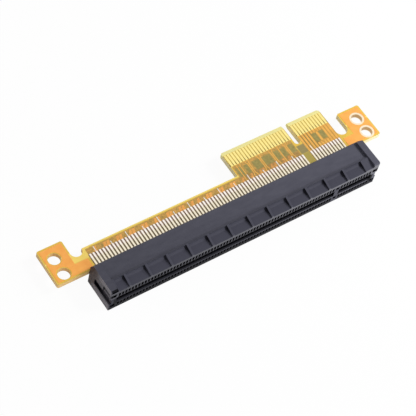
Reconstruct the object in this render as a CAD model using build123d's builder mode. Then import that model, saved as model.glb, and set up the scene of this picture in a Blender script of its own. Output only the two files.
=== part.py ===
"""PCIe riser: an x4 edge card with an x16 straddle-mount slot soldered on its front edge.

Millimetres. X runs along the slot, Y from the slot's mouth to the tip of the gold fingers,
Z up. The origin is under the middle of the part, on the flat lower wall of the slot housing,
which is what the riser rests on. Pin 1 is the contact nearest the +X end.
"""

import os

from build123d import *

os.makedirs("parts", exist_ok=True)

# Contact numbering, the same on the slot and on the card edge
contact_pitch = 1.0
key_gap = 3.0
pins_before_key = 11
slot_pins = 82
edge_pins = 32

# Depths along Y, in order from the mouth to the finger tips
housing_depth = 10.06
housing_to_board_gap = 0.35
strip_depth = 6.83
finger_tab_depth = 8.68
tab_depth = 11.39

# Circuit board
board_thickness = 1.57
tab_width = 7.69
tab_corner_cut = 0.35
finger_tab_margin = 0.65
finger_tab_corner_cut = 0.5
key_notch_width = 1.9
key_notch_depth = 7.5
left_notch_width = 3.53
right_notch_width = 3.88
right_notch_floor = 4.6
tip_bevel_length = 1.05
tip_bevel_height = 0.36
tongue_overhang = 0.7
tongue_clearance = 0.1

# Mounting holes in the two end tabs
hole_radius = 1.8
hole_spacing = 5.0
hole_from_board_end = 3.22
near_hole_from_shoulder = 2.38
barrel_wall = 0.13
barrel_fit = 0.02
ring_radius = 2.2

# Copper that stands on the board's faces
copper_height = 0.05
finger_width = 0.7
finger_length = 4.05
finger_from_tip = 1.3
pour_margin = 0.5
pour_hole_margin = 0.25
ring_gap = 0.05
pour_hole_sides = 24
pour_neck_depth = 3.0
pour_neck_end_gap = 0.3

# White pin-count ticks: long ones at the tens, short ones halfway from ten to ten
long_tick_pins = range(10, slot_pins, 10)
short_tick_pins = range(15, slot_pins, 10)
tick_width = 0.25
long_tick_length = 1.6
short_tick_length = 0.9
tick_height = 0.03
tick_from_tail = 0.2

# Slot housing, with its heights measured from the slot's middle
housing_overhang = 2.9
middle_height = 3.92
rim_height = 3.75
main_face_height = 4.4
crest_height = 5.0
rear_wall_height = 3.2
rear_chamfer_run = 0.64
crest_from_mouth = 3.32
crest_run = 0.9
floor_rise = 0.1
floor_fillet = 0.85
end_block_width = 1.95
end_block_height = 5.3
end_block_nose_run = 0.4
end_block_nose_drop = 0.5
front_corner_radius = 0.2

# Gussets across the stepped lip
gusset_count = 13
gusset_pitch = 6.53
gusset_width = 0.65
first_gusset_from_end = 5.65
gusset_toe_height = 0.4

# Card slot and its contact channels
slot_height = 1.78
slot_end_clearance = 0.85
slot_key_width = 1.4
slot_lead_in = 0.3
channel_width = 0.6
channel_outer_height = 2.75
window_inner_height = 1.635
bridge_depth = 0.6
pocket_depth = 2.36
pocket_half_height = 1.05
pocket_side_clearance = 0.25

# Cored-out recesses of the moulding
core_depth = 2.0
key_core_width = 1.1
end_core_width = 1.6
end_core_wall = 0.25
side_groove_depth = 0.6
side_groove_length = 7.5
side_groove_below = 1.05
side_groove_above = 1.3
side_pocket_length = 3.25
side_pocket_above = 3.1
side_pocket_from_mouth = 0.35
block_recess_wall = 0.3
block_recess_overrun = 0.4
block_recess_height = 0.95
block_recess_depth = 1.2

# Stamped spring contacts
contact_width = 0.5
contact_thickness = 0.2
tail_reach = 4.54
bend_behind_pocket = 0.25
bow_from_mouth = 1.8
bow_height = 0.55
tip_from_mouth = 0.75
tip_height = 1.5

# Stations along Y worked out from the depths
overall_depth = housing_depth + housing_to_board_gap + strip_depth + finger_tab_depth
mouth_y = -overall_depth / 2
housing_rear_y = mouth_y + housing_depth
pocket_floor_y = housing_rear_y - pocket_depth
shoulder_y = housing_rear_y + housing_to_board_gap
strip_y = shoulder_y + strip_depth
tip_y = strip_y + finger_tab_depth
tab_top_y = shoulder_y + tab_depth
tongue_y = pocket_floor_y + tongue_clearance
tail_end_y = housing_rear_y + tail_reach
crest_y = mouth_y + crest_from_mouth
near_hole_y = shoulder_y + near_hole_from_shoulder
far_hole_y = near_hole_y + hole_spacing

# Heights along Z
mid_z = middle_height
board_bottom_z = mid_z - board_thickness / 2
board_top_z = mid_z + board_thickness / 2
rim_z = mid_z + rim_height
main_z = mid_z + main_face_height
crest_z = mid_z + crest_height
block_z = mid_z + end_block_height
floor_z = rim_z + floor_rise

# Stations along X
pin_span = (slot_pins - 2) * contact_pitch + key_gap
pin_one_x = pin_span / 2
tab_inner_x = pin_one_x + finger_tab_margin + right_notch_width
board_end_x = tab_inner_x + tab_width
tongue_x = pin_one_x + tongue_overhang
housing_end_x = pin_one_x + housing_overhang
block_inner_x = housing_end_x - end_block_width
hole_x = board_end_x - hole_from_board_end
slot_end_x = pin_one_x + slot_end_clearance


def pin_x(pin):
    """Place of a contact along X, with the wide gap of the key after the eleventh."""
    steps = (pin - 1) * contact_pitch
    if pin > pins_before_key:
        steps += key_gap - contact_pitch
    return pin_one_x - steps


key_x = (pin_x(pins_before_key) + pin_x(pins_before_key + 1)) / 2
finger_tab_right_x = pin_x(1) + finger_tab_margin
finger_tab_left_x = pin_x(edge_pins) - finger_tab_margin
all_pins = range(1, slot_pins + 1)


def box_between(low, high, mode=Mode.ADD):
    """Box with two opposite corners given."""
    size = [top - bottom for bottom, top in zip(low, high)]
    with Locations(tuple(low)):
        Box(*size, align=(Align.MIN, Align.MIN, Align.MIN), mode=mode)


def rectangle_between(low, high, mode=Mode.ADD):
    """Rectangle with two opposite corners given."""
    with Locations(tuple(low)):
        Rectangle(high[0] - low[0], high[1] - low[1], align=(Align.MIN, Align.MIN), mode=mode)


def save(part, name):
    """Labels one finished piece and writes it under its own name."""
    part.label = name
    export_step(part, f"parts/{name}.step")


# Slot housing: one moulding
body_outline = [
    (housing_rear_y, 0),
    (housing_rear_y, mid_z + rear_wall_height),
    (housing_rear_y - rear_chamfer_run * (main_face_height - rear_wall_height), main_z),
    (crest_y + crest_run, main_z),
    (crest_y, crest_z),
]
block_outline = [
    (mouth_y, 0),
    (housing_rear_y, 0),
    (housing_rear_y, mid_z + rear_wall_height),
    (housing_rear_y - rear_chamfer_run * (end_block_height - rear_wall_height), block_z),
    (mouth_y + end_block_nose_run, block_z),
    (mouth_y, block_z - end_block_nose_drop),
]
gusset_outline = [
    (crest_y, rim_z),
    (crest_y, crest_z),
    (mouth_y, rim_z + gusset_toe_height),
    (mouth_y, rim_z - floor_rise),
    (crest_y, rim_z - floor_rise),
]
channel_outline = [
    (mouth_y, mid_z + window_inner_height),
    (mouth_y + bridge_depth, mid_z + window_inner_height),
    (mouth_y + bridge_depth, mid_z),
    (pocket_floor_y, mid_z),
    (pocket_floor_y, mid_z + channel_outer_height),
    (mouth_y, mid_z + channel_outer_height),
]
first_gusset_x = -housing_end_x + first_gusset_from_end
gusset_xs = [first_gusset_x + gusset_pitch * n for n in range(gusset_count)]

with BuildPart() as channel:
    with BuildSketch(Plane.YZ):
        with BuildLine():
            Polyline(*channel_outline, close=True)
        make_face()
    extrude(amount=channel_width / 2, both=True)
lower_channel = mirror(channel.part, about=Plane.XY.offset(mid_z))

with BuildPart() as connector_housing:
    # Long body with its stepped lip
    with BuildSketch(Plane.YZ):
        with BuildLine():
            rear = Polyline(*body_outline)
            step = Line(rear @ 1, (crest_y, floor_z + floor_fillet))
            foot = RadiusArc(step @ 1, (crest_y - floor_fillet, floor_z), floor_fillet)
            floor = Line(foot @ 1, (mouth_y, rim_z))
            front = Line(floor @ 1, (mouth_y, 0))
            Line(front @ 1, rear @ 0)
        make_face()
    extrude(amount=housing_end_x, both=True)

    # Solid blocks at both ends
    for side in (-1, 1):
        with BuildSketch(Plane.YZ.offset(side * block_inner_x)):
            with BuildLine():
                Polyline(*block_outline, close=True)
            make_face()
        extrude(amount=side * end_block_width)
    front_corners = connector_housing.edges().filter_by(Axis.Z).group_by(Axis.Y)[0].sort_by(Axis.X)
    fillet([front_corners[0], front_corners[-1]], front_corner_radius)

    # Gussets, with the last bay before the +X block filled to the same slope
    for x in gusset_xs:
        with BuildSketch(Plane.YZ.offset(x)):
            with BuildLine():
                Polyline(*gusset_outline, close=True)
            make_face()
        extrude(amount=gusset_width)
    with BuildSketch(Plane.YZ.offset(gusset_xs[-1])):
        with BuildLine():
            Polyline(*gusset_outline, close=True)
        make_face()
    extrude(amount=block_inner_x - gusset_xs[-1])
    with BuildSketch(Plane.YZ.offset(-block_inner_x)):
        with BuildLine():
            Polyline(*gusset_outline, close=True)
        make_face()
    extrude(amount=gusset_width)

    # Card slot in two compartments, either side of the key, with a lead-in at the mouth
    compartments = [(-slot_end_x, key_x - slot_key_width / 2), (key_x + slot_key_width / 2, slot_end_x)]
    for left, right in compartments:
        with BuildSketch(Plane.XZ.offset(-mouth_y)):
            rectangle_between((left, mid_z - slot_height / 2), (right, mid_z + slot_height / 2))
        extrude(amount=-(pocket_floor_y - mouth_y), mode=Mode.SUBTRACT)
        with BuildSketch(Plane.XZ.offset(-mouth_y)):
            rectangle_between((left, mid_z - slot_height / 2 - slot_lead_in),
                              (right, mid_z + slot_height / 2 + slot_lead_in))
        extrude(amount=-slot_lead_in, taper=45, mode=Mode.SUBTRACT)

    # Pocket in the rear that takes the board's tongue between the two rows of tails
    pocket_x = tongue_x + pocket_side_clearance
    box_between((-pocket_x, pocket_floor_y, mid_z - pocket_half_height),
                (pocket_x, housing_rear_y, mid_z + pocket_half_height), mode=Mode.SUBTRACT)

    # Blind cores in the mouth at the key and at both ends
    end_core_x = housing_end_x - end_core_wall - end_core_width / 2
    for x, width in ((-end_core_x, end_core_width), (key_x, key_core_width), (end_core_x, end_core_width)):
        for low, high in ((window_inner_height, channel_outer_height), (-channel_outer_height, -window_inner_height)):
            box_between((x - width / 2, mouth_y, mid_z + low), (x + width / 2, mouth_y + core_depth, mid_z + high),
                        mode=Mode.SUBTRACT)

    # Groove along both end faces, open at the mouth, with a taller pocket over its front
    pocket_start_y = mouth_y + side_pocket_from_mouth
    for side in (-1, 1):
        inner, outer = sorted((side * (housing_end_x - side_groove_depth), side * housing_end_x))
        box_between((inner, mouth_y, mid_z - side_groove_below),
                    (outer, mouth_y + side_groove_length, mid_z + side_groove_above), mode=Mode.SUBTRACT)
        box_between((inner, pocket_start_y, mid_z),
                    (outer, pocket_start_y + side_pocket_length, mid_z + side_pocket_above), mode=Mode.SUBTRACT)

    # Recess in the front of the -X block
    box_between((-housing_end_x + block_recess_wall, mouth_y, floor_z),
                (-block_inner_x + block_recess_overrun, mouth_y + block_recess_depth, floor_z + block_recess_height),
                mode=Mode.SUBTRACT)

    # One channel for each contact, above and below the slot
    with Locations(*[(pin_x(pin), 0, 0) for pin in all_pins]):
        add([channel.part, lower_channel], mode=Mode.SUBTRACT)
save(connector_housing.part, "connector_housing")

# Circuit board: one panel with two end tabs, the finger tab and the tongue
key_notch_y = tip_y - key_notch_depth
left_notch_x = -tab_inner_x + left_notch_width / 2
right_notch_x = tab_inner_x - right_notch_width / 2
hole_places = [(side * hole_x, y) for side in (-1, 1) for y in (near_hole_y, far_hole_y)]

with BuildPart() as board_laminate:
    with BuildSketch(Plane.XY.offset(board_bottom_z)):
        rectangle_between((-board_end_x, shoulder_y), (board_end_x, strip_y))
        rectangle_between((-board_end_x, shoulder_y), (-tab_inner_x, tab_top_y))
        rectangle_between((tab_inner_x, shoulder_y), (board_end_x, tab_top_y))
        rectangle_between((-tongue_x, tongue_y), (tongue_x, shoulder_y))
        rectangle_between((finger_tab_left_x, shoulder_y), (finger_tab_right_x, tip_y))
        for x, floor_y, radius, top_y in (
            (key_x, key_notch_y, key_notch_width / 2, tip_y),
            (left_notch_x, strip_y - left_notch_width / 2, left_notch_width / 2, tab_top_y),
            (right_notch_x, shoulder_y + right_notch_floor, right_notch_width / 2, tab_top_y),
        ):
            with Locations((x, floor_y + radius)):
                Circle(radius, mode=Mode.SUBTRACT)
            rectangle_between((x - radius, floor_y + radius), (x + radius, top_y), mode=Mode.SUBTRACT)
        tab_corners = [v for v in vertices() if abs(v.X) > tab_inner_x - left_notch_width / 2
                       and (abs(v.Y - tab_top_y) < board_thickness / 2 or abs(v.X) > hole_x)]
        chamfer(tab_corners, tab_corner_cut)
        finger_tab_corners = [v for v in vertices().group_by(Axis.Y)[-1] if abs(v.X - key_x) > key_notch_width]
        chamfer(finger_tab_corners, finger_tab_corner_cut)
        with Locations(*hole_places):
            Circle(hole_radius, mode=Mode.SUBTRACT)
    extrude(amount=board_thickness)

    # Bevelled tip, so the fingers slide in between the spring contacts
    for face_z, depth in ((board_top_z, -tip_bevel_height), (board_bottom_z, tip_bevel_height)):
        with BuildSketch(Plane.YZ):
            with BuildLine():
                Polyline((tip_y - tip_bevel_length, face_z), (tip_y, face_z), (tip_y, face_z + depth), close=True)
            make_face()
        extrude(amount=board_end_x, both=True, mode=Mode.SUBTRACT)
save(board_laminate.part, "board_laminate")

# Gold fingers on both faces of the card edge, in the groups that the key makes
finger_centre_y = tip_y - finger_from_tip - finger_length / 2
finger_groups = {
    "before_key": range(1, pins_before_key + 1),
    "after_key": range(pins_before_key + 1, edge_pins + 1),
}
for group, pins in finger_groups.items():
    for face, face_z in (("front", board_top_z), ("back", board_bottom_z - copper_height)):
        with BuildPart() as fingers:
            with BuildSketch(Plane.XY.offset(face_z)):
                with Locations(*[(pin_x(pin), finger_centre_y) for pin in pins]):
                    Rectangle(finger_width, finger_length)
            extrude(amount=copper_height)
        save(fingers.part, f"gold_fingers_{face}_{group}")

# Copper pours on the end tabs, reaching in to the slot's ends
for face, face_z in (("front", board_top_z), ("back", board_bottom_z - copper_height)):
    with BuildPart() as pours:
        with BuildSketch(Plane.XY.offset(face_z)):
            for side in (-1, 1):
                outer = side * (board_end_x - pour_margin)
                inner = side * (tab_inner_x + pour_margin)
                neck = side * (slot_end_x + pour_neck_end_gap)
                left, right = sorted((outer, inner))
                rectangle_between((left, shoulder_y + pour_margin), (right, tab_top_y - pour_margin))
                left, right = sorted((outer, neck))
                rectangle_between((left, shoulder_y + pour_margin), (right, shoulder_y + pour_margin + pour_neck_depth))
            with Locations(*hole_places[:2]):
                RegularPolygon(hole_radius + pour_hole_margin, pour_hole_sides, mode=Mode.SUBTRACT)
            with Locations(*hole_places[2:]):
                RegularPolygon(ring_radius + ring_gap, pour_hole_sides, mode=Mode.SUBTRACT)
        extrude(amount=copper_height)
    save(pours.part, f"copper_pours_{face}")

# Plated barrels with their rings in the holes of the +X tab
for name, hole_y in (("near", near_hole_y), ("far", far_hole_y)):
    with BuildPart() as barrel:
        with BuildSketch(Plane.XY.offset(board_bottom_z - copper_height)):
            with Locations((hole_x, hole_y)):
                Circle(ring_radius)
        extrude(amount=board_thickness + 2 * copper_height)
        with BuildSketch(Plane.XY.offset(board_bottom_z)):
            with Locations((hole_x, hole_y)):
                Circle(ring_radius)
                Circle(hole_radius - barrel_fit, mode=Mode.SUBTRACT)
        extrude(amount=board_thickness, mode=Mode.SUBTRACT)
        with Locations((hole_x, hole_y, mid_z)):
            Hole(hole_radius - barrel_fit - barrel_wall)
    save(barrel.part, f"plated_barrel_{name}")

# White ticks that count the contacts along the strip
with BuildPart() as pin_ticks:
    with BuildSketch(Plane.XY.offset(board_top_z)):
        for pins, length in ((long_tick_pins, long_tick_length), (short_tick_pins, short_tick_length)):
            with Locations(*[(pin_x(pin), tail_end_y + tick_from_tail + length / 2) for pin in pins]):
                Rectangle(tick_width, length)
    extrude(amount=tick_height)
save(pin_ticks.part, "pin_count_ticks")


def strip_outline(route, thickness):
    """Outline of a bent strip: both sides of its route, meeting in a point at the far end."""
    upper, lower = [], []
    for i, here in enumerate(route[:-1]):
        ahead = (route[i + 1] - here).normalized()
        behind = (here - route[i - 1]).normalized() if i else ahead
        normal = (ahead + behind).normalized().rotate(Axis.Z, 90)
        reach = thickness / 2 / normal.dot(ahead.rotate(Axis.Z, 90))
        upper.append(here + normal * reach)
        lower.append(here - normal * reach)
    return [(point.X, point.Y) for point in (*upper, route[-1], *reversed(lower))]


# Spring contacts: tail on the board, beam from behind the pocket, bow into the slot, tip
tail_z = board_top_z + contact_thickness / 2
bend_y = pocket_floor_y - bend_behind_pocket
contact_route = [
    Vector(tail_end_y, tail_z),
    Vector(bend_y, tail_z),
    Vector(mouth_y + bow_from_mouth, mid_z + bow_height),
    Vector(mouth_y + tip_from_mouth, mid_z + tip_height),
]
with BuildPart() as contact:
    with BuildSketch(Plane.YZ):
        with BuildLine():
            Polyline(*strip_outline(contact_route, contact_thickness), close=True)
        make_face()
    extrude(amount=contact_width / 2, both=True)
lower_contact = mirror(contact.part, about=Plane.XY.offset(mid_z))

# Contacts are grouped by the lanes that they serve: x1, x4, x8 and x16
lane_groups = {
    "01_to_11": range(1, 12),
    "12_to_18": range(12, 19),
    "19_to_32": range(19, 33),
    "33_to_49": range(33, 50),
    "50_to_82": range(50, slot_pins + 1),
}
for row, shape in (("upper", contact.part), ("lower", lower_contact)):
    for group, pins in lane_groups.items():
        with BuildPart() as contacts:
            with Locations(*[(pin_x(pin), 0, 0) for pin in pins]):
                add(shape)
        save(contacts.part, f"{row}_contacts_{group}")
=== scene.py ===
"""Looks for the riser card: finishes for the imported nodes, small added pieces, light and camera.

Sizes are in millimetres and turned to metres where they are used. X runs along the slot, Y from
the slot's mouth to the finger tips, Z up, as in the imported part. Colours are sRGB in 0 to 255.
"""

from math import radians

import bmesh
import bpy
from mathutils import Matrix, Vector


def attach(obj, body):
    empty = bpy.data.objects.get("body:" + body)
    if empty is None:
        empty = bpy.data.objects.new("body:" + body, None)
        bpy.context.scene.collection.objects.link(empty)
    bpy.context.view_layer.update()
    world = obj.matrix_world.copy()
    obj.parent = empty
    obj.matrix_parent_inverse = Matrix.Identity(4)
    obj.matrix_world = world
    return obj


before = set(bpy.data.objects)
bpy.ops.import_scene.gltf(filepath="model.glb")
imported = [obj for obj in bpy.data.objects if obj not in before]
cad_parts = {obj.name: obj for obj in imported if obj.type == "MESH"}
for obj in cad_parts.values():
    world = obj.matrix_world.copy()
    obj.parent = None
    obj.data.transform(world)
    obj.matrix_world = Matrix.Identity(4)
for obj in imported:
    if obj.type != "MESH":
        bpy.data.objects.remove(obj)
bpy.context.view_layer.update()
scene = bpy.context.scene

MM = 0.001

# Contact numbering, as in the part
CONTACT_PITCH = 1.0
KEY_GAP = 3.0
PINS_BEFORE_KEY = 11
SLOT_PINS = 82
PIN_ONE_X = 41.5

# Stations of the part that the finishes and the new pieces are set by
MID_Z = 3.92
BOARD_TOP = 4.705
HALF_BOARD = BOARD_TOP - MID_Z
TIP_Y = 12.96
MOUTH_Y = -12.96
CREST_Y = -9.64
REAR_Y = -2.9
STRIP_Y = 4.28
TAIL_END_Y = 1.64
FINGER_BASE_Y = 7.61
BEVEL_LENGTH = 1.05
RIM_Z = 7.67
BLOCK_INNER_X = 42.45
HOUSING_END_X = 44.4
FIRST_GUSSET_X = -38.75
GUSSET_PITCH = 6.53
KEY_X = (28.9, 31.1)

# Walls of the end cores: places along X, depths from the mouth, heights over the slot's middle
CORE_WALL_X = 43.55
POCKET_FLOOR_X = 43.8
CORE_END_X = 44.15
CORE_WALL_FRONT = 0.1
POCKET_FROM_MOUTH = 0.35
CORE_DEPTH = 2.0
CORE_LOW = 1.635
CORE_HIGH = 2.75

# Solder joints round the tails
PAD_WIDTH = 0.56
PAD_FRONT_Y = -2.45
PAD_END_Y = 1.8
PAD_HEIGHT = 0.06
PAD_SINK = 0.002
PAD_ROUND = 0.05
FILLET_HEIGHT = 0.16
FILLET_WIDTH = 0.54
FILLET_LENGTH = 3.2
FILLET_REACH = 0.14
FILLET_ROUND = 0.1

# Copper traces under the mask, from the fingers' bases to the pads
TRACE_HEIGHT = 0.02
TRACE_TOP_Y = FINGER_BASE_Y + 0.05
TRACE_END_Y = PAD_END_Y - 0.1
POWER_WIDTH = 0.66
POWER_PINS = (1, 2, 3, 8, 9, 10, 11)
BRIDGED_POWER_PINS = (4, 5, 6, 7)
UPPER_STUB_Y = 6.55
LOWER_STUB_Y = 3.2
BRIDGE_PIN = 5
BRIDGE_OVERLAP = 0.3
SIGNAL_WIDTH = 0.3
SIGNAL_PINS = (17, 30, 31)
PAIR_PINS = (14, 19, 23, 27)
PAIR_OFFSET = 0.26
PAIR_BENDS_Y = (6.9, 6.5, 3.0, 2.5)

# Ground fans along the strip: the steps along X and places along Y of their bends, and the first
# pin of each group
FAN_WIDTH = 0.78
FAN_BENDS = ((0, TRACE_END_Y), (0.05, 2.2), (0.4, 3.25))
GROUND_PINS = (16, 18, 21, 25, 29, 32, 35, 39, 43, 47, 49, 52, 56, 60, 64, 68, 72, 76, 80)
SINGLE_GROUND_PINS = (16, 18, 29, 32, 47, 49, 80)

# Most values of a noise node lie in this range, which is stretched to the full one
NOISE_RANGE = (0.3, 0.7)


def linear(red, green, blue):
    """Linear colour of an sRGB colour given in 0 to 255."""
    def one(value):
        value /= 255
        return value / 12.92 if value <= 0.04045 else ((value + 0.055) / 1.055) ** 2.4
    return one(red), one(green), one(blue), 1.0


def pin_x(pin):
    """Place of a contact along X, with the wide gap of the key after the eleventh."""
    steps = (pin - 1) * CONTACT_PITCH
    if pin > PINS_BEFORE_KEY:
        steps += KEY_GAP - CONTACT_PITCH
    return PIN_ONE_X - steps


class Value:
    """A number or colour that a node gives. Arithmetic on numbers adds Math nodes."""

    def __init__(self, nodes, socket):
        self.nodes, self.socket = nodes, socket

    def __add__(self, other):
        return self.nodes.math("ADD", self, other)

    def __sub__(self, other):
        return self.nodes.math("SUBTRACT", self, other)

    def __rsub__(self, other):
        return self.nodes.math("SUBTRACT", other, self)

    def __mul__(self, other):
        return self.nodes.math("MULTIPLY", self, other)

    def __truediv__(self, other):
        return self.nodes.math("DIVIDE", self, other)

    def __mod__(self, other):
        return self.nodes.math("FLOORED_MODULO", self, other)

    def __or__(self, other):
        return self.nodes.math("MAXIMUM", self, other)

    def __abs__(self):
        return self.nodes.math("ABSOLUTE", self)

    __radd__ = __add__
    __rmul__ = __mul__
    __ror__ = __or__


class Nodes:
    """Adds nodes to a node tree."""

    def __init__(self, tree):
        self.tree = tree

    def node(self, kind, settings=None, output=0, **values):
        """Adds a node: its settings first, then the values or links of its sockets."""
        node = self.tree.nodes.new(kind)
        for name, setting in (settings or {}).items():
            setattr(node, name, setting)
        for name, value in values.items():
            place = int(name[1:]) if name[0] == "_" else name.replace("_", " ")
            self.feed(node.inputs[place], value)
        return node if output is None else Value(self, node.outputs[output])

    def feed(self, socket, value):
        """Links a node's value to a socket, or sets a plain number or colour on it."""
        if isinstance(value, Value):
            self.tree.links.new(value.socket, socket)
        else:
            socket.default_value = value

    def math(self, operation, *values):
        """Adds a Math node, with its values in their order."""
        return self.node("ShaderNodeMath", {"operation": operation},
                         **{f"_{place}": value for place, value in enumerate(values)})

    def seen(self):
        """1 for the camera and for reflections, 0 for the light that falls on the object."""
        path = self.node("ShaderNodeLightPath", output=None)
        by_camera, by_gloss = (Value(self, path.outputs[f"Is {ray} Ray"]) for ray in ("Camera", "Glossy"))
        return by_camera | by_gloss


class Finish(Nodes):
    """A procedural material. Its pattern is laid out in the part's own millimetres."""

    def __init__(self, name, **constants):
        self.material = bpy.data.materials.new(name)
        self.material.use_nodes = True
        super().__init__(self.material.node_tree)
        self.shader = self.tree.nodes["Principled BSDF"]
        self.paint(**constants)
        self.place = self.node("ShaderNodeTexCoord", output="Object")
        split = self.node("ShaderNodeSeparateXYZ", output=None, Vector=self.place)
        self.x, self.y, self.z = (Value(self, socket) / MM for socket in split.outputs)

    def rise(self, value, edge, soft=0.06):
        """0 below the edge and 1 above it, with a soft step of the given width."""
        return self.node("ShaderNodeMapRange", {"interpolation_type": "SMOOTHSTEP"}, Value=value,
                         From_Min=edge - soft / 2, From_Max=edge + soft / 2)

    def fall(self, value, edge, soft=0.06):
        """1 below the edge and 0 above it."""
        return 1 - self.rise(value, edge, soft)

    def span(self, value, low, high, soft=0.06):
        """1 between two edges."""
        return self.rise(value, low, soft) * self.fall(value, high, soft)

    def patch(self, left, right, low, high, soft):
        """1 inside a rectangle on the board's plane."""
        return self.span(self.x, left, right, soft) * self.span(self.y, low, high, soft)

    def noise(self, size, detail=2.0, stretch=(1, 1, 1), low=0.0, high=1.0):
        """Cloudy noise whose features are about the given size in millimetres."""
        place = self.node("ShaderNodeMapping", Vector=self.place, Scale=stretch)
        cloud = self.node("ShaderNodeTexNoise", output="Fac", Vector=place, Scale=1 / (size * MM),
                          Detail=detail)
        least, most = NOISE_RANGE
        return self.node("ShaderNodeMapRange", Value=cloud, From_Min=least, From_Max=most,
                         To_Min=low, To_Max=high)

    def mix(self, amount, first, second):
        """Colour between two colours, each from a node or given in sRGB."""
        first, second = (linear(*colour) if isinstance(colour, tuple) else colour
                         for colour in (first, second))
        return self.node("ShaderNodeMix", {"data_type": "RGBA"}, output=2, _0=amount, _6=first, _7=second)

    def paint(self, **values):
        """Feeds the shader's sockets."""
        for name, value in values.items():
            self.feed(self.shader.inputs[name.replace("_", " ")], value)

    def bump(self, height, distance, strength):
        """Gives the surface a fine relief, its depth in millimetres."""
        self.paint(Normal=self.node("ShaderNodeBump", Height=height, Distance=distance * MM,
                                    Strength=strength))


# Housing resin, paler towards the right end by painted light. In a pair of colours the second is for the
# right end, where more light falls
RESIN_DARK = ((71, 71, 81), (79, 79, 90))
RESIN_PALE = ((77, 77, 87), (85, 85, 96))
LIP_SHADE = (68, 68, 79)
GUSSET_SHADE = (40, 40, 48)

# Middle and width of the soft step of painted light from the darker left to the paler right
BODY_LIGHT_X = -10
LIGHT_WIDTH = 90

# The stepped lip in painted shade, and the painted shadow on the left of its gussets
LIP_END_Y = CREST_Y + 0.05
LIP_LOW_Z = RIM_Z - 0.2
GUSSET_SHADE_FRONT_Y = MOUTH_Y + 1.3
GUSSET_SHADE_SLOPE = 0.3
GUSSET_SHADE_TOP_Z = RIM_Z + 1.0


def resin_body(finish):
    """The moulding's faintly mottled grey, paler to the right by painted light, and the stepped lip in
    painted shade with a painted shadow beside each gusset.
    """
    rise, fall, mix = finish.rise, finish.fall, finish.mix
    along = rise(finish.x, BODY_LIGHT_X, LIGHT_WIDTH)
    mottle = finish.noise(1.1, detail=4.0, stretch=(0.35, 1, 1))
    colour = mix(mottle, mix(along, *RESIN_DARK), mix(along, *RESIN_PALE))

    lip = fall(finish.y, LIP_END_Y, soft=0.3) * fall(abs(finish.x), BLOCK_INNER_X)
    lip = lip * rise(finish.z, LIP_LOW_Z)
    # Painted shade on the lip's floor and its gussets
    colour = mix(lip, colour, LIP_SHADE)

    # The shade is widest under the crest and runs out towards the mouth
    beside = (FIRST_GUSSET_X - finish.x) % GUSSET_PITCH
    reach = (finish.y - GUSSET_SHADE_FRONT_Y) * GUSSET_SHADE_SLOPE
    shade = rise(reach - beside, 0.0, soft=0.25) * fall(finish.z, GUSSET_SHADE_TOP_Z)
    return mix(shade * lip, colour, GUSSET_SHADE)


# The mouth's face in painted shade, with painted highlights on its band and ridges. The second of a pair of
# colours is again for the right end, where more light falls
MOUTH_FACE_SHADE = ((54, 54, 63), (100, 100, 110))
MOUTH_FOOT_SHADE = ((11, 11, 17), (38, 38, 46))
WINDOW_RIDGE_HIGHLIGHT = ((94, 94, 102), (112, 112, 120))
MOUTH_BAND_HIGHLIGHT = ((96, 96, 103), (117, 117, 123))
KEY_FACE = (74, 74, 84)
DEEP_SHADE = (8, 8, 14)
MOUTH_LIGHT_X = 5
LEFT_SHADE_X = -5
LEFT_SHADE_WIDTH = 80
LEFT_SHADE_SHARE = 0.3

# Places on the mouth's face: the foot, the ridges between the windows, and the band over them
MOUTH_FACE_Y = MOUTH_Y + 0.02
FOOT_Z = MID_Z - 1.75
RIDGES_Z = MID_Z + 1.0
BAND_Z = MID_Z + 2.85
RIDGE_HALF_WIDTH = 0.11
LAST_WINDOW_X = 41.9
UPPER_WINDOWS_Z = (MID_Z + 1.25, MID_Z + 2.95)
LOWER_WINDOWS_Z = (MID_Z - 2.95, MID_Z - 1.5)
SLOT_END_X = (41.5, 43.1)
SLOT_END_Z = (MID_Z - 1.9, MID_Z + 0.7)
CORE_MOUTH_X = (42.35, 44.25)
CORE_MOUTH_Z = (MID_Z + 1.9, MID_Z + 3.05)


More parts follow.
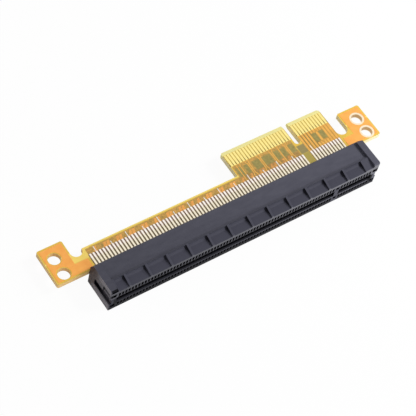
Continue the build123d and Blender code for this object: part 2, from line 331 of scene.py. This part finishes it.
def resin_mouth(finish, colour):
    """The mouth in painted shade, lighter to the right: painted highlights on the band over the windows and
    the thin ridges between them, deeper painted shade below.
    """
    rise, fall, span, mix = finish.rise, finish.fall, finish.span, finish.mix
    mouth = fall(finish.y, MOUTH_FACE_Y, soft=0.02)
    lit = rise(finish.x, MOUTH_LIGHT_X, LIGHT_WIDTH)
    key = span(finish.x, *KEY_X)
    colour = mix(mouth, colour, mix(lit, *MOUTH_FACE_SHADE))
    # Deeper painted shade on the mouth's foot
    colour = mix(mouth * fall(finish.z, FOOT_Z, soft=0.4), colour, mix(lit, *MOUTH_FOOT_SHADE))
    # Painted highlight on the ridges between the windows
    colour = mix(mouth * rise(finish.z, RIDGES_Z, soft=0.2), colour, mix(lit, *WINDOW_RIDGE_HIGHLIGHT))
    colour = mix(mouth * key * fall(finish.z, BAND_Z, soft=0.2), colour, KEY_FACE)
    # Painted highlight on the band over the windows
    colour = mix(mouth * rise(finish.z, BAND_Z, soft=0.2), colour, mix(lit, *MOUTH_BAND_HIGHLIGHT))

    # The windows, the slot's end and the end cores' mouths are painted in deep shade. Each window's corners
    # are rounded off in that shade, so that its ridges show as thin lines
    from_centre = abs(finish.x)
    from_ridge = abs((finish.x + CONTACT_PITCH / 2) % CONTACT_PITCH - CONTACT_PITCH / 2)
    windows = rise(from_ridge, RIDGE_HALF_WIDTH) * fall(from_centre, LAST_WINDOW_X) * (1 - key)
    windows = windows * (span(finish.z, *UPPER_WINDOWS_Z) | span(finish.z, *LOWER_WINDOWS_Z))
    slot_end = span(from_centre, *SLOT_END_X) * span(finish.z, *SLOT_END_Z, soft=0.2)
    core = span(from_centre, *CORE_MOUTH_X) * span(finish.z, *CORE_MOUTH_Z, soft=0.1)
    colour = mix(mouth * (windows | slot_end | core), colour, DEEP_SHADE)
    left = fall(finish.x, LEFT_SHADE_X, LEFT_SHADE_WIDTH)
    return mix(mouth * left * LEFT_SHADE_SHARE, colour, DEEP_SHADE)


# Inside the slot, with painted shade and a painted highlight on its slanted lead-in, and in the cored-out
# recesses of the end blocks
LEAD_IN_SHADE = (26, 26, 32)
LEAD_IN_HIGHLIGHT = (120, 120, 128)
RECESS_LIT = (84, 80, 88)
LEDGE_HIGHLIGHT = (124, 120, 128)
BEHIND_MOUTH_Y = MOUTH_Y + 0.03
LEAD_IN_END_Y = MOUTH_Y + 0.29
LEAD_IN_FROM_MIDDLE = (0.9, 1.17)
INSIDE_END_Y = REAR_Y - 0.05
INSIDE_HALF_HEIGHT = 2.83
RECESS_X = (HOUSING_END_X - 0.65, HOUSING_END_X - 0.04)
RECESS_FRONT_Y = MOUTH_Y + 0.04
RECESS_Z = (MID_Z - 1.1, MID_Z + 3.15)
RECESS_LIT_END_Y = -8.8
LEDGE_END_Y = -9.3
LEDGE_Z = (MID_Z + 0.5, MID_Z + 0.95)
NICHE_X = (-44.15, -42.0)
NICHE_END_Y = MOUTH_Y + 1.25
NICHE_Z = (RIM_Z - 0.02, RIM_Z + 1.5)
NICHE_OPEN_Z = RIM_Z + 0.9


def resin_hollows(finish, colour):
    """Painted deep shade inside the slot, the windows, the cored-out recesses and the niche, where hardly
    any light returns.
    """
    rise, fall, span, mix = finish.rise, finish.fall, finish.span, finish.mix
    from_centre, from_middle = abs(finish.x), abs(finish.z - MID_Z)
    # Painted shade on the lead-in's lower half and a painted highlight on its upper half
    lead_in = span(from_middle, *LEAD_IN_FROM_MIDDLE)
    lead_in = lead_in * span(finish.y, BEHIND_MOUTH_Y, LEAD_IN_END_Y, soft=0.02)
    colour = mix(lead_in, colour, mix(rise(finish.z, MID_Z), LEAD_IN_SHADE, LEAD_IN_HIGHLIGHT))

    inside = fall(from_middle, INSIDE_HALF_HEIGHT) * fall(from_centre, RECESS_X[0])
    inside = inside * span(finish.y, BEHIND_MOUTH_Y, INSIDE_END_Y, soft=0.03)
    recess = span(from_centre, *RECESS_X) * rise(finish.y, RECESS_FRONT_Y) * span(finish.z, *RECESS_Z)
    niche = span(finish.x, *NICHE_X) * span(finish.z, *NICHE_Z) * fall(finish.y, NICHE_END_Y)
    niche = niche * (rise(finish.y, MOUTH_FACE_Y) | rise(finish.z, NICHE_OPEN_Z))

    # Painted light at the front of the end recesses, where some light reaches, and a painted highlight on
    # the ledge in them
    uneven = finish.noise(1.4, low=0.3, high=0.8)
    depth = mix(recess * fall(finish.y, RECESS_LIT_END_Y, soft=2.5) * uneven, DEEP_SHADE, RECESS_LIT)
    ledge = recess * span(finish.z, *LEDGE_Z, soft=0.1) * fall(finish.y, LEDGE_END_Y, soft=0.4)
    return mix((inside | recess | niche) * (1 - lead_in), colour, mix(ledge, depth, LEDGE_HIGHLIGHT))


# The end faces, with painted highlights along their upper and lower edges, and painted shade in the pocket
# near their upper edge and at their lower rear corner
END_FACE_FRONT = (95, 92, 97)
END_FACE_REAR = (73, 61, 59)
END_FACE_EDGE_HIGHLIGHT = (132, 128, 134)
END_FACE_CORNER_SHADE = (58, 50, 48)
POCKET_SHADE = (36, 34, 38)
END_FACE_X = HOUSING_END_X - 0.02
END_FACE_MIDDLE_Y = -6.5
EDGE_LIGHT_SHARE = 0.9
LOW_EDGE_Z = MID_Z - 1.7
HIGH_EDGE_Z = MID_Z + 3.4
HIGH_EDGE_END_Y = -7.5
CORNER_Y = -4.6
POCKET_Y = (-12.6, -9.4)
POCKET_Z = (MID_Z + 3.0, MID_Z + 3.6)


def resin_end_faces(finish, colour):
    """The end faces: painted highlights at the upper and lower edges, brownish towards the board, painted
    shade in the pocket and at the lower rear corner.
    """
    rise, fall, span, mix = finish.rise, finish.fall, finish.span, finish.mix
    end = rise(abs(finish.x), END_FACE_X, soft=0.02)
    face = mix(rise(finish.y, END_FACE_MIDDLE_Y, soft=3.0), END_FACE_FRONT, END_FACE_REAR)
    colour = mix(end, colour, face)
    low = fall(finish.z, LOW_EDGE_Z, soft=0.6)
    high = rise(finish.z, HIGH_EDGE_Z, soft=0.5) * fall(finish.y, HIGH_EDGE_END_Y, soft=3.0)
    # Painted highlights along the upper and lower edges
    colour = mix(end * (high | low) * EDGE_LIGHT_SHARE, colour, END_FACE_EDGE_HIGHLIGHT)
    pocket = span(finish.z, *POCKET_Z, soft=0.2) * span(finish.y, *POCKET_Y, soft=0.2)
    colour = mix(end * pocket, colour, POCKET_SHADE)
    # Painted shade at the lower rear corner of the end faces
    return mix(end * low * rise(finish.y, CORNER_Y, soft=2.0), colour, END_FACE_CORNER_SHADE)


def housing_finish():
    """Dark grey glass-filled resin, matt, with a fine grain, and painted light and shade in its colour."""
    finish = Finish("housing_resin", Specular_IOR_Level=0.07)
    colour = resin_body(finish)
    colour = resin_mouth(finish, colour)
    colour = resin_hollows(finish, colour)
    colour = resin_end_faces(finish, colour)
    finish.paint(Base_Color=colour, Roughness=finish.noise(0.4, detail=3.0, low=0.44, high=0.6))
    finish.bump(finish.noise(0.12, detail=3.0), distance=0.012, strength=0.6)
    return finish.material


# The board's mask and laminate. A pair of colours holds the two tones of a mottled field
YELLOW_MASK = ((234, 196, 78), (224, 186, 68))
STRIP_EDGE = (250, 224, 116)
LEFT_CORNER_LIGHT = (252, 220, 108)
BROWN_MASK = ((220, 166, 80), (160, 132, 62))
POWER_MASK = ((204, 150, 62), (190, 140, 56))
POWER_SHADE = ((152, 120, 52), (138, 108, 46))
TAB_SHADE = (140, 108, 58)
TAB_SHADE_SHARE = 0.5
OLIVE_MASK = ((164, 148, 80), (134, 124, 62))
KEY_COLUMN = ((152, 137, 84), (144, 130, 78))
KEY_COLUMN_FOOT = (172, 154, 70)
PAD_GAP_SHADE_FRONT = ((124, 108, 72), (110, 96, 64))
PAD_GAP_SHADE_REAR = ((152, 126, 104), (136, 110, 90))
FINGER_GAP_BASE = (112, 88, 24)
FINGER_GAP_END = (200, 172, 78)
BARE_TIP = (250, 240, 160)
CUT_EDGE_SHADE_LEFT = ((236, 198, 128), (216, 178, 116))
CUT_EDGE_RIGHT = ((250, 236, 188), (240, 224, 172))
CUT_EDGE_ROUGHNESS = 0.6
MASK_ROUGHNESS = 0.3

# Fields on the board's plane: left and right edge, then front and rear edge
PADS_FRONT_Y = -2.6
LEFT_CORNER_FIELD = (-47.0, -40.5, 1.0, 4.4)
STRIP_FIELD = (-41.9, 8.3, PADS_FRONT_Y, STRIP_Y - 0.62)
TAB_FIELD = (8.2, 28.4, PADS_FRONT_Y, FINGER_BASE_Y)
TAB_SHADE_FIELD = (8.2, 28.4, 1.5, 3.9)
POWER_FIELD = (31.1, 42.1, PADS_FRONT_Y, FINGER_BASE_Y)
POWER_SHADE_FIELD = (31.1, 35.9, PADS_FRONT_Y, FINGER_BASE_Y)
KEY_COLUMN_FIELD = (28.6, 31.2, 1.9, 4.9)
KEY_COLUMN_FOOT_FIELD = (28.6, 31.0, PADS_FRONT_Y, 1.9)
LEFT_PADS_FIELD = (-42.0, 28.9, PADS_FRONT_Y, PAD_END_Y)
RIGHT_PADS_FIELD = (31.1, 41.9, PADS_FRONT_Y, PAD_END_Y)

# Windows in the inner planes of the finger tab: left and right edges, front and rear edge
OLIVE_WINDOWS_X = ((8.5, 10.8), (11.3, 12.8), (14.1, 16.6), (17.1, 20.3), (21.3, 23.1), (23.6, 25.3),
                   (26.3, 28.2), (35.0, 36.6), (37.5, 39.1))
OLIVE_WINDOWS_Y = (3.5, 6.5)

# Lines at which the colours of the strip, the pads' ground, the fingers and the cut edge change
STRIP_EDGE_Y = STRIP_Y - 0.35
STRIP_END_Y = STRIP_Y + 0.1
PAD_GROUND_MIDDLE_Y = 0.3
FINGERS_X = (7.0, 43.0)
FINGER_GAP_Y = FINGER_BASE_Y + 0.15
FINGER_GAP_MIDDLE_Y = 8.6
BARE_TIP_Y = TIP_Y - BEVEL_LENGTH - 0.15
CUT_EDGE_MIDDLE_X = -30
FACE_DEPTH = 0.004


def mask_colour(finish, tip):
    """The board's faces: yellow mask, brown over copper, olive in the inner planes' windows."""
    mix, patch, rise, fall = finish.mix, finish.patch, finish.rise, finish.fall
    weave = finish.noise(0.35)
    cloud = finish.noise(0.55, detail=3.0)
    colour = mix(weave, *YELLOW_MASK)
    strip_edge = rise(finish.y, STRIP_EDGE_Y, soft=0.3) * fall(finish.y, STRIP_END_Y)
    colour = mix(strip_edge, colour, STRIP_EDGE)
    # Painted light: the yellow by the left U-notch is lifted where it falls in shadow
    colour = mix(patch(*LEFT_CORNER_FIELD, soft=0.8), colour, LEFT_CORNER_LIGHT)

    # Brown between the traces, on the strip and on the finger tab
    brown = patch(*STRIP_FIELD, soft=0.3) | patch(*TAB_FIELD, soft=0.3)
    colour = mix(brown, colour, mix(cloud, *BROWN_MASK))
    colour = mix(patch(*POWER_FIELD, soft=0.2), colour, mix(weave, *POWER_MASK))
    colour = mix(patch(*POWER_SHADE_FIELD, soft=0.3), colour, mix(weave, *POWER_SHADE))
    colour = mix(patch(*TAB_SHADE_FIELD, soft=0.4) * TAB_SHADE_SHARE, colour, TAB_SHADE)

    # Olive windows between the groups of traces
    windows = 0
    for left, right in OLIVE_WINDOWS_X:
        windows = windows | patch(left, right, *OLIVE_WINDOWS_Y, soft=0.5)
    colour = mix(windows, colour, mix(cloud, *OLIVE_MASK))

    # The column under the key notch, and the mask between the pads, darkened by painted shade between the
    # tails
    colour = mix(patch(*KEY_COLUMN_FIELD, soft=0.4), colour, mix(weave, *KEY_COLUMN))
    colour = mix(patch(*KEY_COLUMN_FOOT_FIELD, soft=0.4), colour, KEY_COLUMN_FOOT)
    pads = patch(*LEFT_PADS_FIELD, soft=0.2) | patch(*RIGHT_PADS_FIELD, soft=0.2)
    ground = mix(rise(finish.y, PAD_GROUND_MIDDLE_Y, soft=0.8), mix(weave, *PAD_GAP_SHADE_FRONT),
                 mix(weave, *PAD_GAP_SHADE_REAR))
    colour = mix(pads, colour, ground)

    # Between the fingers: dark at their base, pale towards the bare bevelled tip
    gaps = rise(finish.y, FINGER_GAP_Y, soft=0.3) * finish.span(finish.x, *FINGERS_X)
    gap = mix(rise(finish.y, FINGER_GAP_MIDDLE_Y, soft=1.8), FINGER_GAP_BASE, FINGER_GAP_END)
    return mix(tip, mix(gaps, colour, gap), BARE_TIP)


def cut_edge_colour(finish, tip):
    """The cut edge: it shows the laminate's layers, with painted shade making it browner towards the left.
    """
    mix = finish.mix
    layers = finish.noise(0.5, detail=3.0, stretch=(0.3, 0.3, 3))
    colour = mix(finish.rise(finish.x, CUT_EDGE_MIDDLE_X, soft=30), mix(layers, *CUT_EDGE_SHADE_LEFT),
                 mix(layers, *CUT_EDGE_RIGHT))
    return mix(tip, colour, BARE_TIP)


def board_finish():
    """Glossy mask on the board's faces, matt laminate on its cut edge."""
    finish = Finish("board_mask")
    tip = finish.rise(finish.y, BARE_TIP_Y, soft=0.3)
    flat = finish.rise(abs(finish.z - MID_Z), HALF_BOARD - FACE_DEPTH, soft=FACE_DEPTH)
    finish.paint(Base_Color=finish.mix(flat, cut_edge_colour(finish, tip), mask_colour(finish, tip)),
                 Roughness=CUT_EDGE_ROUGHNESS - flat * (CUT_EDGE_ROUGHNESS - MASK_ROUGHNESS))
    finish.bump(finish.noise(0.25), distance=0.006, strength=0.4)
    return finish.material


# Metals and ink. A pair of colours holds the two tones of a mottled surface
POUR_COPPER = ((255, 178, 84), (250, 168, 74))
TRACE_COPPER = ((242, 183, 84), (226, 168, 74))
FAN_COPPER = ((255, 182, 90), (232, 158, 76))
FAN_COPPER_ON_TAB = (176, 130, 66)
TAB_FANS_X = (7.5, 30.0)
GOLD = ((250, 232, 150), (242, 222, 138))
CONTACT_TIN = ((246, 238, 218), (232, 220, 192))
CONTACT_SHADE_IN_SLOT = (66, 60, 50)
SLOT_SHADE_Y = REAR_Y - 0.3
SOLDER = ((255, 250, 246), (236, 228, 222))
TAIL_ENDS = ((255, 252, 244), (238, 224, 214))
TAIL_ENDS_Y = 0.3
HOLE_TIN = ((250, 236, 208), (236, 218, 186))
HOLE_WALL_SHADE = (192, 154, 106)
HOLE_WALL_HALF_HEIGHT = HALF_BOARD - 0.12
TIN_UNEVENNESS = 0.16
INK = ((250, 248, 240), (232, 226, 212))


def copper_finish(name, tones, cloud_size=1.6, on_tab=None):
    """Copper under the yellow mask: orange, glossy, with a faint brushed unevenness."""
    finish = Finish(name)
    cloud = finish.noise(cloud_size, detail=3.0)
    colour = finish.mix(cloud, *tones)
    if on_tab:
        colour = finish.mix(finish.span(finish.x, *TAB_FANS_X) * cloud, colour, on_tab)
    finish.paint(Base_Color=colour, Roughness=finish.noise(0.5, detail=3.0, low=0.26, high=0.4))
    finish.bump(finish.noise(0.3), distance=0.005, strength=0.4)
    return finish.material


def gold_finish():
    """Gold plate on the fingers, brushed along their length."""
    finish = Finish("gold_plate", Metallic=1.0)
    cloud = finish.noise(0.8, detail=3.0, stretch=(1, 0.4, 1))
    brushed = finish.noise(0.15, detail=3.0, stretch=(1, 0.1, 1), low=0.28, high=0.42)
    finish.paint(Base_Color=finish.mix(cloud, *GOLD), Roughness=brushed)
    finish.bump(finish.noise(0.08, stretch=(1, 0.08, 1)), distance=0.003, strength=0.3)
    return finish.material


def tin_finish(name, tones, roughness, shade):
    """Tin or solder. The shade is a function that adds what one kind of piece needs."""
    finish = Finish(name, Metallic=1.0)
    colour = shade(finish, finish.mix(finish.noise(0.3, detail=4.0), *tones))
    uneven = finish.noise(0.12, detail=3.0, low=roughness, high=roughness + TIN_UNEVENNESS)
    finish.paint(Base_Color=colour, Roughness=uneven)
    finish.bump(finish.noise(0.1, detail=3.0), distance=0.006, strength=0.5)
    return finish.material


def paler_tail_ends(finish, colour):
    """Whiter towards the ends of the contacts' tails."""
    ends = finish.mix(finish.noise(0.45, detail=3.0), *TAIL_ENDS)
    return finish.mix(finish.rise(finish.y, TAIL_ENDS_Y, soft=0.8), colour, ends)


def darker_in_slot(finish, colour):
    """Whiter at the tails' ends, and darkened by painted shade inside the housing."""
    tails = paler_tail_ends(finish, colour)
    return finish.mix(finish.rise(finish.y, SLOT_SHADE_Y, soft=0.4), CONTACT_SHADE_IN_SLOT, tails)


def darker_hole_wall(finish, colour):
    """Painted shade: brownish on the barrel's wall, between its two rings."""
    wall = finish.fall(abs(finish.z - MID_Z), HOLE_WALL_HALF_HEIGHT, soft=0.1)
    return finish.mix(wall, colour, HOLE_WALL_SHADE)


def ink_finish():
    """White printed ink, matt and a little rough."""
    finish = Finish("white_ink", Roughness=0.6)
    finish.paint(Base_Color=finish.mix(finish.noise(0.12, detail=3.0), *INK))
    finish.bump(finish.noise(0.06), distance=0.004, strength=0.5)
    return finish.material


housing_resin = housing_finish()
trace_copper = copper_finish("trace_copper", TRACE_COPPER)
fan_copper = copper_finish("fan_copper", FAN_COPPER, cloud_size=0.5, on_tab=FAN_COPPER_ON_TAB)
contact_alloy = tin_finish("contact_alloy", CONTACT_TIN, roughness=0.24, shade=darker_in_slot)
solder = tin_finish("solder", SOLDER, roughness=0.22, shade=paler_tail_ends)

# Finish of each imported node, by the start of its name
node_finishes = {
    "connector_housing": housing_resin,
    "board_laminate": board_finish(),
    "copper_pours": copper_finish("masked_copper", POUR_COPPER),
    "gold_fingers": gold_finish(),
    "plated_barrel": tin_finish("tinned_copper", HOLE_TIN, roughness=0.26, shade=darker_hole_wall),
    "pin_count_ticks": ink_finish(),
    "upper_contacts": contact_alloy,
    "lower_contacts": contact_alloy,
}
for name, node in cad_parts.items():
    material = next(finish for start, finish in node_finishes.items() if name.startswith(start))
    node.data.materials.clear()
    node.data.materials.append(material)


def placed(name, data):
    """Makes an object of the data and links it to the scene."""
    obj = bpy.data.objects.new(name, data)
    scene.collection.objects.link(obj)
    return obj


def shaped(name, mesh, material):
    """Makes an object of a bmesh that is laid out in millimetres."""
    bmesh.ops.scale(mesh, vec=(MM, MM, MM), verts=mesh.verts)
    data = bpy.data.meshes.new(name)
    mesh.to_mesh(data)
    mesh.free()
    data.materials.append(material)
    return placed(name, data)


def piece(name, mesh, material):
    """Makes a finished piece of the riser, with its faces outwards."""
    bmesh.ops.recalc_face_normals(mesh, faces=mesh.faces)
    obj = shaped(name, mesh, material)
    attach(obj, "root")


def front_and_back(name, mesh, material):
    """Makes a piece on the board's upper face and its mirror image on the lower face."""
    back = mesh.copy()
    bmesh.ops.scale(back, vec=(1, 1, -1), verts=back.verts, space=Matrix.Translation((0, 0, -MID_Z)))
    piece(f"{name}_front", mesh, material)
    piece(f"{name}_back", back, material)


def drawn_out(mesh, faces, step, keep=False):
    """Extrudes a section by a step and returns the face at its new end."""
    grown = bmesh.ops.extrude_face_region(mesh, geom=faces, use_keep_orig=keep)["geom"]
    verts = [part for part in grown if isinstance(part, bmesh.types.BMVert)]
    bmesh.ops.translate(mesh, verts=verts, vec=step)
    return [part for part in grown if isinstance(part, bmesh.types.BMFace)]


def slab(mesh, left, right, front, rear, bottom, top, round_by):
    """Adds a box, its upright edges and its top edges rounded."""
    size = Vector((right - left, rear - front, top - bottom))
    middle = Vector(((left + right) / 2, (front + rear) / 2, (bottom + top) / 2))
    place = Matrix.Translation(middle) @ Matrix.Diagonal((*size, 1))
    made = bmesh.ops.create_cube(mesh, size=1, matrix=place)
    edges = {edge for vert in made["verts"] for edge in vert.link_edges
             if any(end.co.z > middle.z for end in edge.verts)}
    bmesh.ops.bevel(mesh, geom=list(edges), offset=round_by, segments=2, profile=0.5,
                    affect="EDGES", material=-1, clamp_overlap=True)


def trace(mesh, route, width):
    """Adds a copper trace: a flat section drawn out along its route, mostly along Y."""
    (x, y), *stops = route
    upright = Matrix.Translation((x, y, BOARD_TOP + TRACE_HEIGHT / 2)) @ Matrix.Rotation(radians(90), 4, "X")
    made = bmesh.ops.create_grid(mesh, x_segments=1, y_segments=1, size=0.5,
                                 matrix=upright @ Matrix.Diagonal((width, TRACE_HEIGHT, 1, 1)))
    start = [face for face in mesh.faces if all(vert in made["verts"] for vert in face.verts)]
    faces = start
    for stop_x, stop_y in stops:
        section, faces = faces, drawn_out(mesh, faces, (stop_x - x, stop_y - y, 0))
        if section is not start:
            bmesh.ops.delete(mesh, geom=section, context="FACES_ONLY")
        x, y = stop_x, stop_y


def bar(mesh, x, top_y, end_y, width):
    """Adds a straight copper trace along Y."""
    trace(mesh, [(x, top_y), (x, end_y)], width)


def core_wall(mesh, side):
    """Adds the wall that closes an end core of the mouth towards the pocket in the end face."""
    corners = [(CORE_WALL_X, CORE_WALL_FRONT), (CORE_END_X, CORE_WALL_FRONT),
               (CORE_END_X, POCKET_FROM_MOUTH), (POCKET_FLOOR_X, POCKET_FROM_MOUTH),
               (POCKET_FLOOR_X, CORE_DEPTH), (CORE_WALL_X, CORE_DEPTH)]
    verts = [bmesh.ops.create_vert(mesh, co=(side * x, MOUTH_Y + depth, MID_Z + CORE_LOW))["vert"][0]
             for x, depth in corners]
    floor = bmesh.ops.contextual_create(mesh, geom=verts)["faces"]
    drawn_out(mesh, floor, (0, 0, CORE_HIGH - CORE_LOW), keep=True)


# Walls between the mouth's end cores and the pockets in the end faces
core_walls = bmesh.new()
for side in (-1, 1):
    core_wall(core_walls, side)
piece("end_core_walls", core_walls, housing_resin)

# Solder joints: a flat pad under each tail, and the fillet of solder that wets the tail's sides
joints = bmesh.new()
for pin in range(1, SLOT_PINS + 1):
    x = pin_x(pin)
    slab(joints, x - PAD_WIDTH / 2, x + PAD_WIDTH / 2, PAD_FRONT_Y, PAD_END_Y,
         BOARD_TOP - PAD_SINK, BOARD_TOP + PAD_HEIGHT, PAD_ROUND)
    slab(joints, x - FILLET_WIDTH / 2, x + FILLET_WIDTH / 2, TAIL_END_Y - FILLET_LENGTH,
         TAIL_END_Y + FILLET_REACH, BOARD_TOP, BOARD_TOP + FILLET_HEIGHT, FILLET_ROUND)
front_and_back("tail_solder", joints, solder)

# Copper traces: broad power bars, of which four are bridged, signal pairs, and single lines
traces = bmesh.new()
for pin in POWER_PINS:
    bar(traces, pin_x(pin), TRACE_TOP_Y, TRACE_END_Y, POWER_WIDTH)
for pin in BRIDGED_POWER_PINS:
    bar(traces, pin_x(pin), TRACE_TOP_Y, UPPER_STUB_Y, POWER_WIDTH)
    bar(traces, pin_x(pin), LOWER_STUB_Y, TRACE_END_Y, POWER_WIDTH)
bar(traces, pin_x(BRIDGE_PIN) - CONTACT_PITCH / 2, UPPER_STUB_Y + BRIDGE_OVERLAP,
    LOWER_STUB_Y - BRIDGE_OVERLAP, POWER_WIDTH)
for pin in PAIR_PINS:
    middle = pin_x(pin) - CONTACT_PITCH / 2
    for x, near in ((pin_x(pin), middle + PAIR_OFFSET), (pin_x(pin + 1), middle - PAIR_OFFSET)):
        route = zip((x, x, near, near, x, x), (TRACE_TOP_Y, *PAIR_BENDS_Y, TRACE_END_Y))
        trace(traces, route, SIGNAL_WIDTH)
for pin in SIGNAL_PINS:
    bar(traces, pin_x(pin), TRACE_TOP_Y, TRACE_END_Y, SIGNAL_WIDTH)
front_and_back("copper_traces", traces, trace_copper)

# Ground fans: slanted strips from the ground pads to the vias of the inner plane
fans = bmesh.new()
for first_pin in GROUND_PINS:
    group = (first_pin,) if first_pin in SINGLE_GROUND_PINS else (first_pin, first_pin + 1)
    for pin in group:
        trace(fans, [(pin_x(pin) + step, y) for step, y in FAN_BENDS], FAN_WIDTH)
front_and_back("ground_fans", fans, fan_copper)


# Floor, light and camera. The white and the floor's grey are linear colours, as nodes take them
WHITE = (1, 1, 1, 1)
FLOOR_GREY = (0.9, 0.9, 0.9, 1)
FLOOR_GLOW_SHARE = 0.95
FLOOR_RADIUS = 3000
FLOOR_GAP = 0.02
SKY_LIGHT = 0.4
SIDE_LAMP_RADIUS = 30
SIDE_LAMP_PLACE = (140, -50, 120)
CAMERA_PLACE = (-183.23, -164.90, 350.61)
CAMERA_TURN = (33.8721, -9.32, -33.7273)
CAMERA_LENS = 134.62
CAMERA_SENSOR = 36


def floor_finish():
    """White to the camera and to reflections, with the object's soft shadow kept."""
    material = bpy.data.materials.new("studio_floor")
    material.use_nodes = True
    nodes = Nodes(material.node_tree)
    nodes.tree.nodes.clear()
    matt = nodes.node("ShaderNodeBsdfDiffuse", Color=FLOOR_GREY)
    glow = nodes.node("ShaderNodeEmission", Color=WHITE)
    mixed = nodes.node("ShaderNodeMixShader", _0=nodes.seen() * FLOOR_GLOW_SHARE, _1=matt, _2=glow)
    nodes.node("ShaderNodeOutputMaterial", output=None, Surface=mixed)
    return material


def studio_world():
    """White to the camera and to reflections, and a plain soft light on the object."""
    world = bpy.data.worlds.new("studio")
    world.use_nodes = True
    nodes = Nodes(world.node_tree)
    background = nodes.tree.nodes["Background"]
    level = nodes.node("ShaderNodeMapRange", Value=nodes.seen(), To_Min=SKY_LIGHT, To_Max=1.0)
    nodes.feed(background.inputs["Color"], WHITE)
    nodes.feed(background.inputs["Strength"], level)
    return world


def lamp(name, kind, energy):
    """Adds a lamp of the given kind."""
    obj = placed(name, bpy.data.lights.new(name, kind))
    obj.data.energy = energy
    return obj


def sun(name, energy, angle, direction):
    """Adds a sun lamp that shines from the given direction."""
    obj = lamp(name, "SUN", energy)
    obj.data.angle = angle
    obj.rotation_euler = Vector(direction).to_track_quat("Z", "Y").to_euler()


floor_disc = bmesh.new()
bmesh.ops.create_circle(floor_disc, cap_ends=True, segments=96, radius=FLOOR_RADIUS)
floor = shaped("floor", floor_disc, floor_finish())
floor.location.z = -FLOOR_GAP * MM

scene.world = studio_world()
sun("key_light", energy=1.32, angle=0.2, direction=(0.56, -0.3, 0.772))
sun("front_fill", energy=0.9, angle=0.6, direction=(0.1, -0.95, 0.3))

# A soft lamp close by on the right, whose light falls off along the slot
side_lamp = lamp("side_lamp", "POINT", energy=0.4)
side_lamp.data.shadow_soft_size = SIDE_LAMP_RADIUS * MM
side_lamp.location = Vector(SIDE_LAMP_PLACE) * MM

camera = placed("camera", bpy.data.cameras.new("camera"))
camera.data.lens = CAMERA_LENS
camera.data.sensor_width = CAMERA_SENSOR
camera.data.clip_start = 0.01
camera.data.clip_end = 10
camera.location = Vector(CAMERA_PLACE) * MM
camera.rotation_euler = [radians(angle) for angle in CAMERA_TURN]
scene.camera = camera

scene.view_settings.view_transform = "Standard"
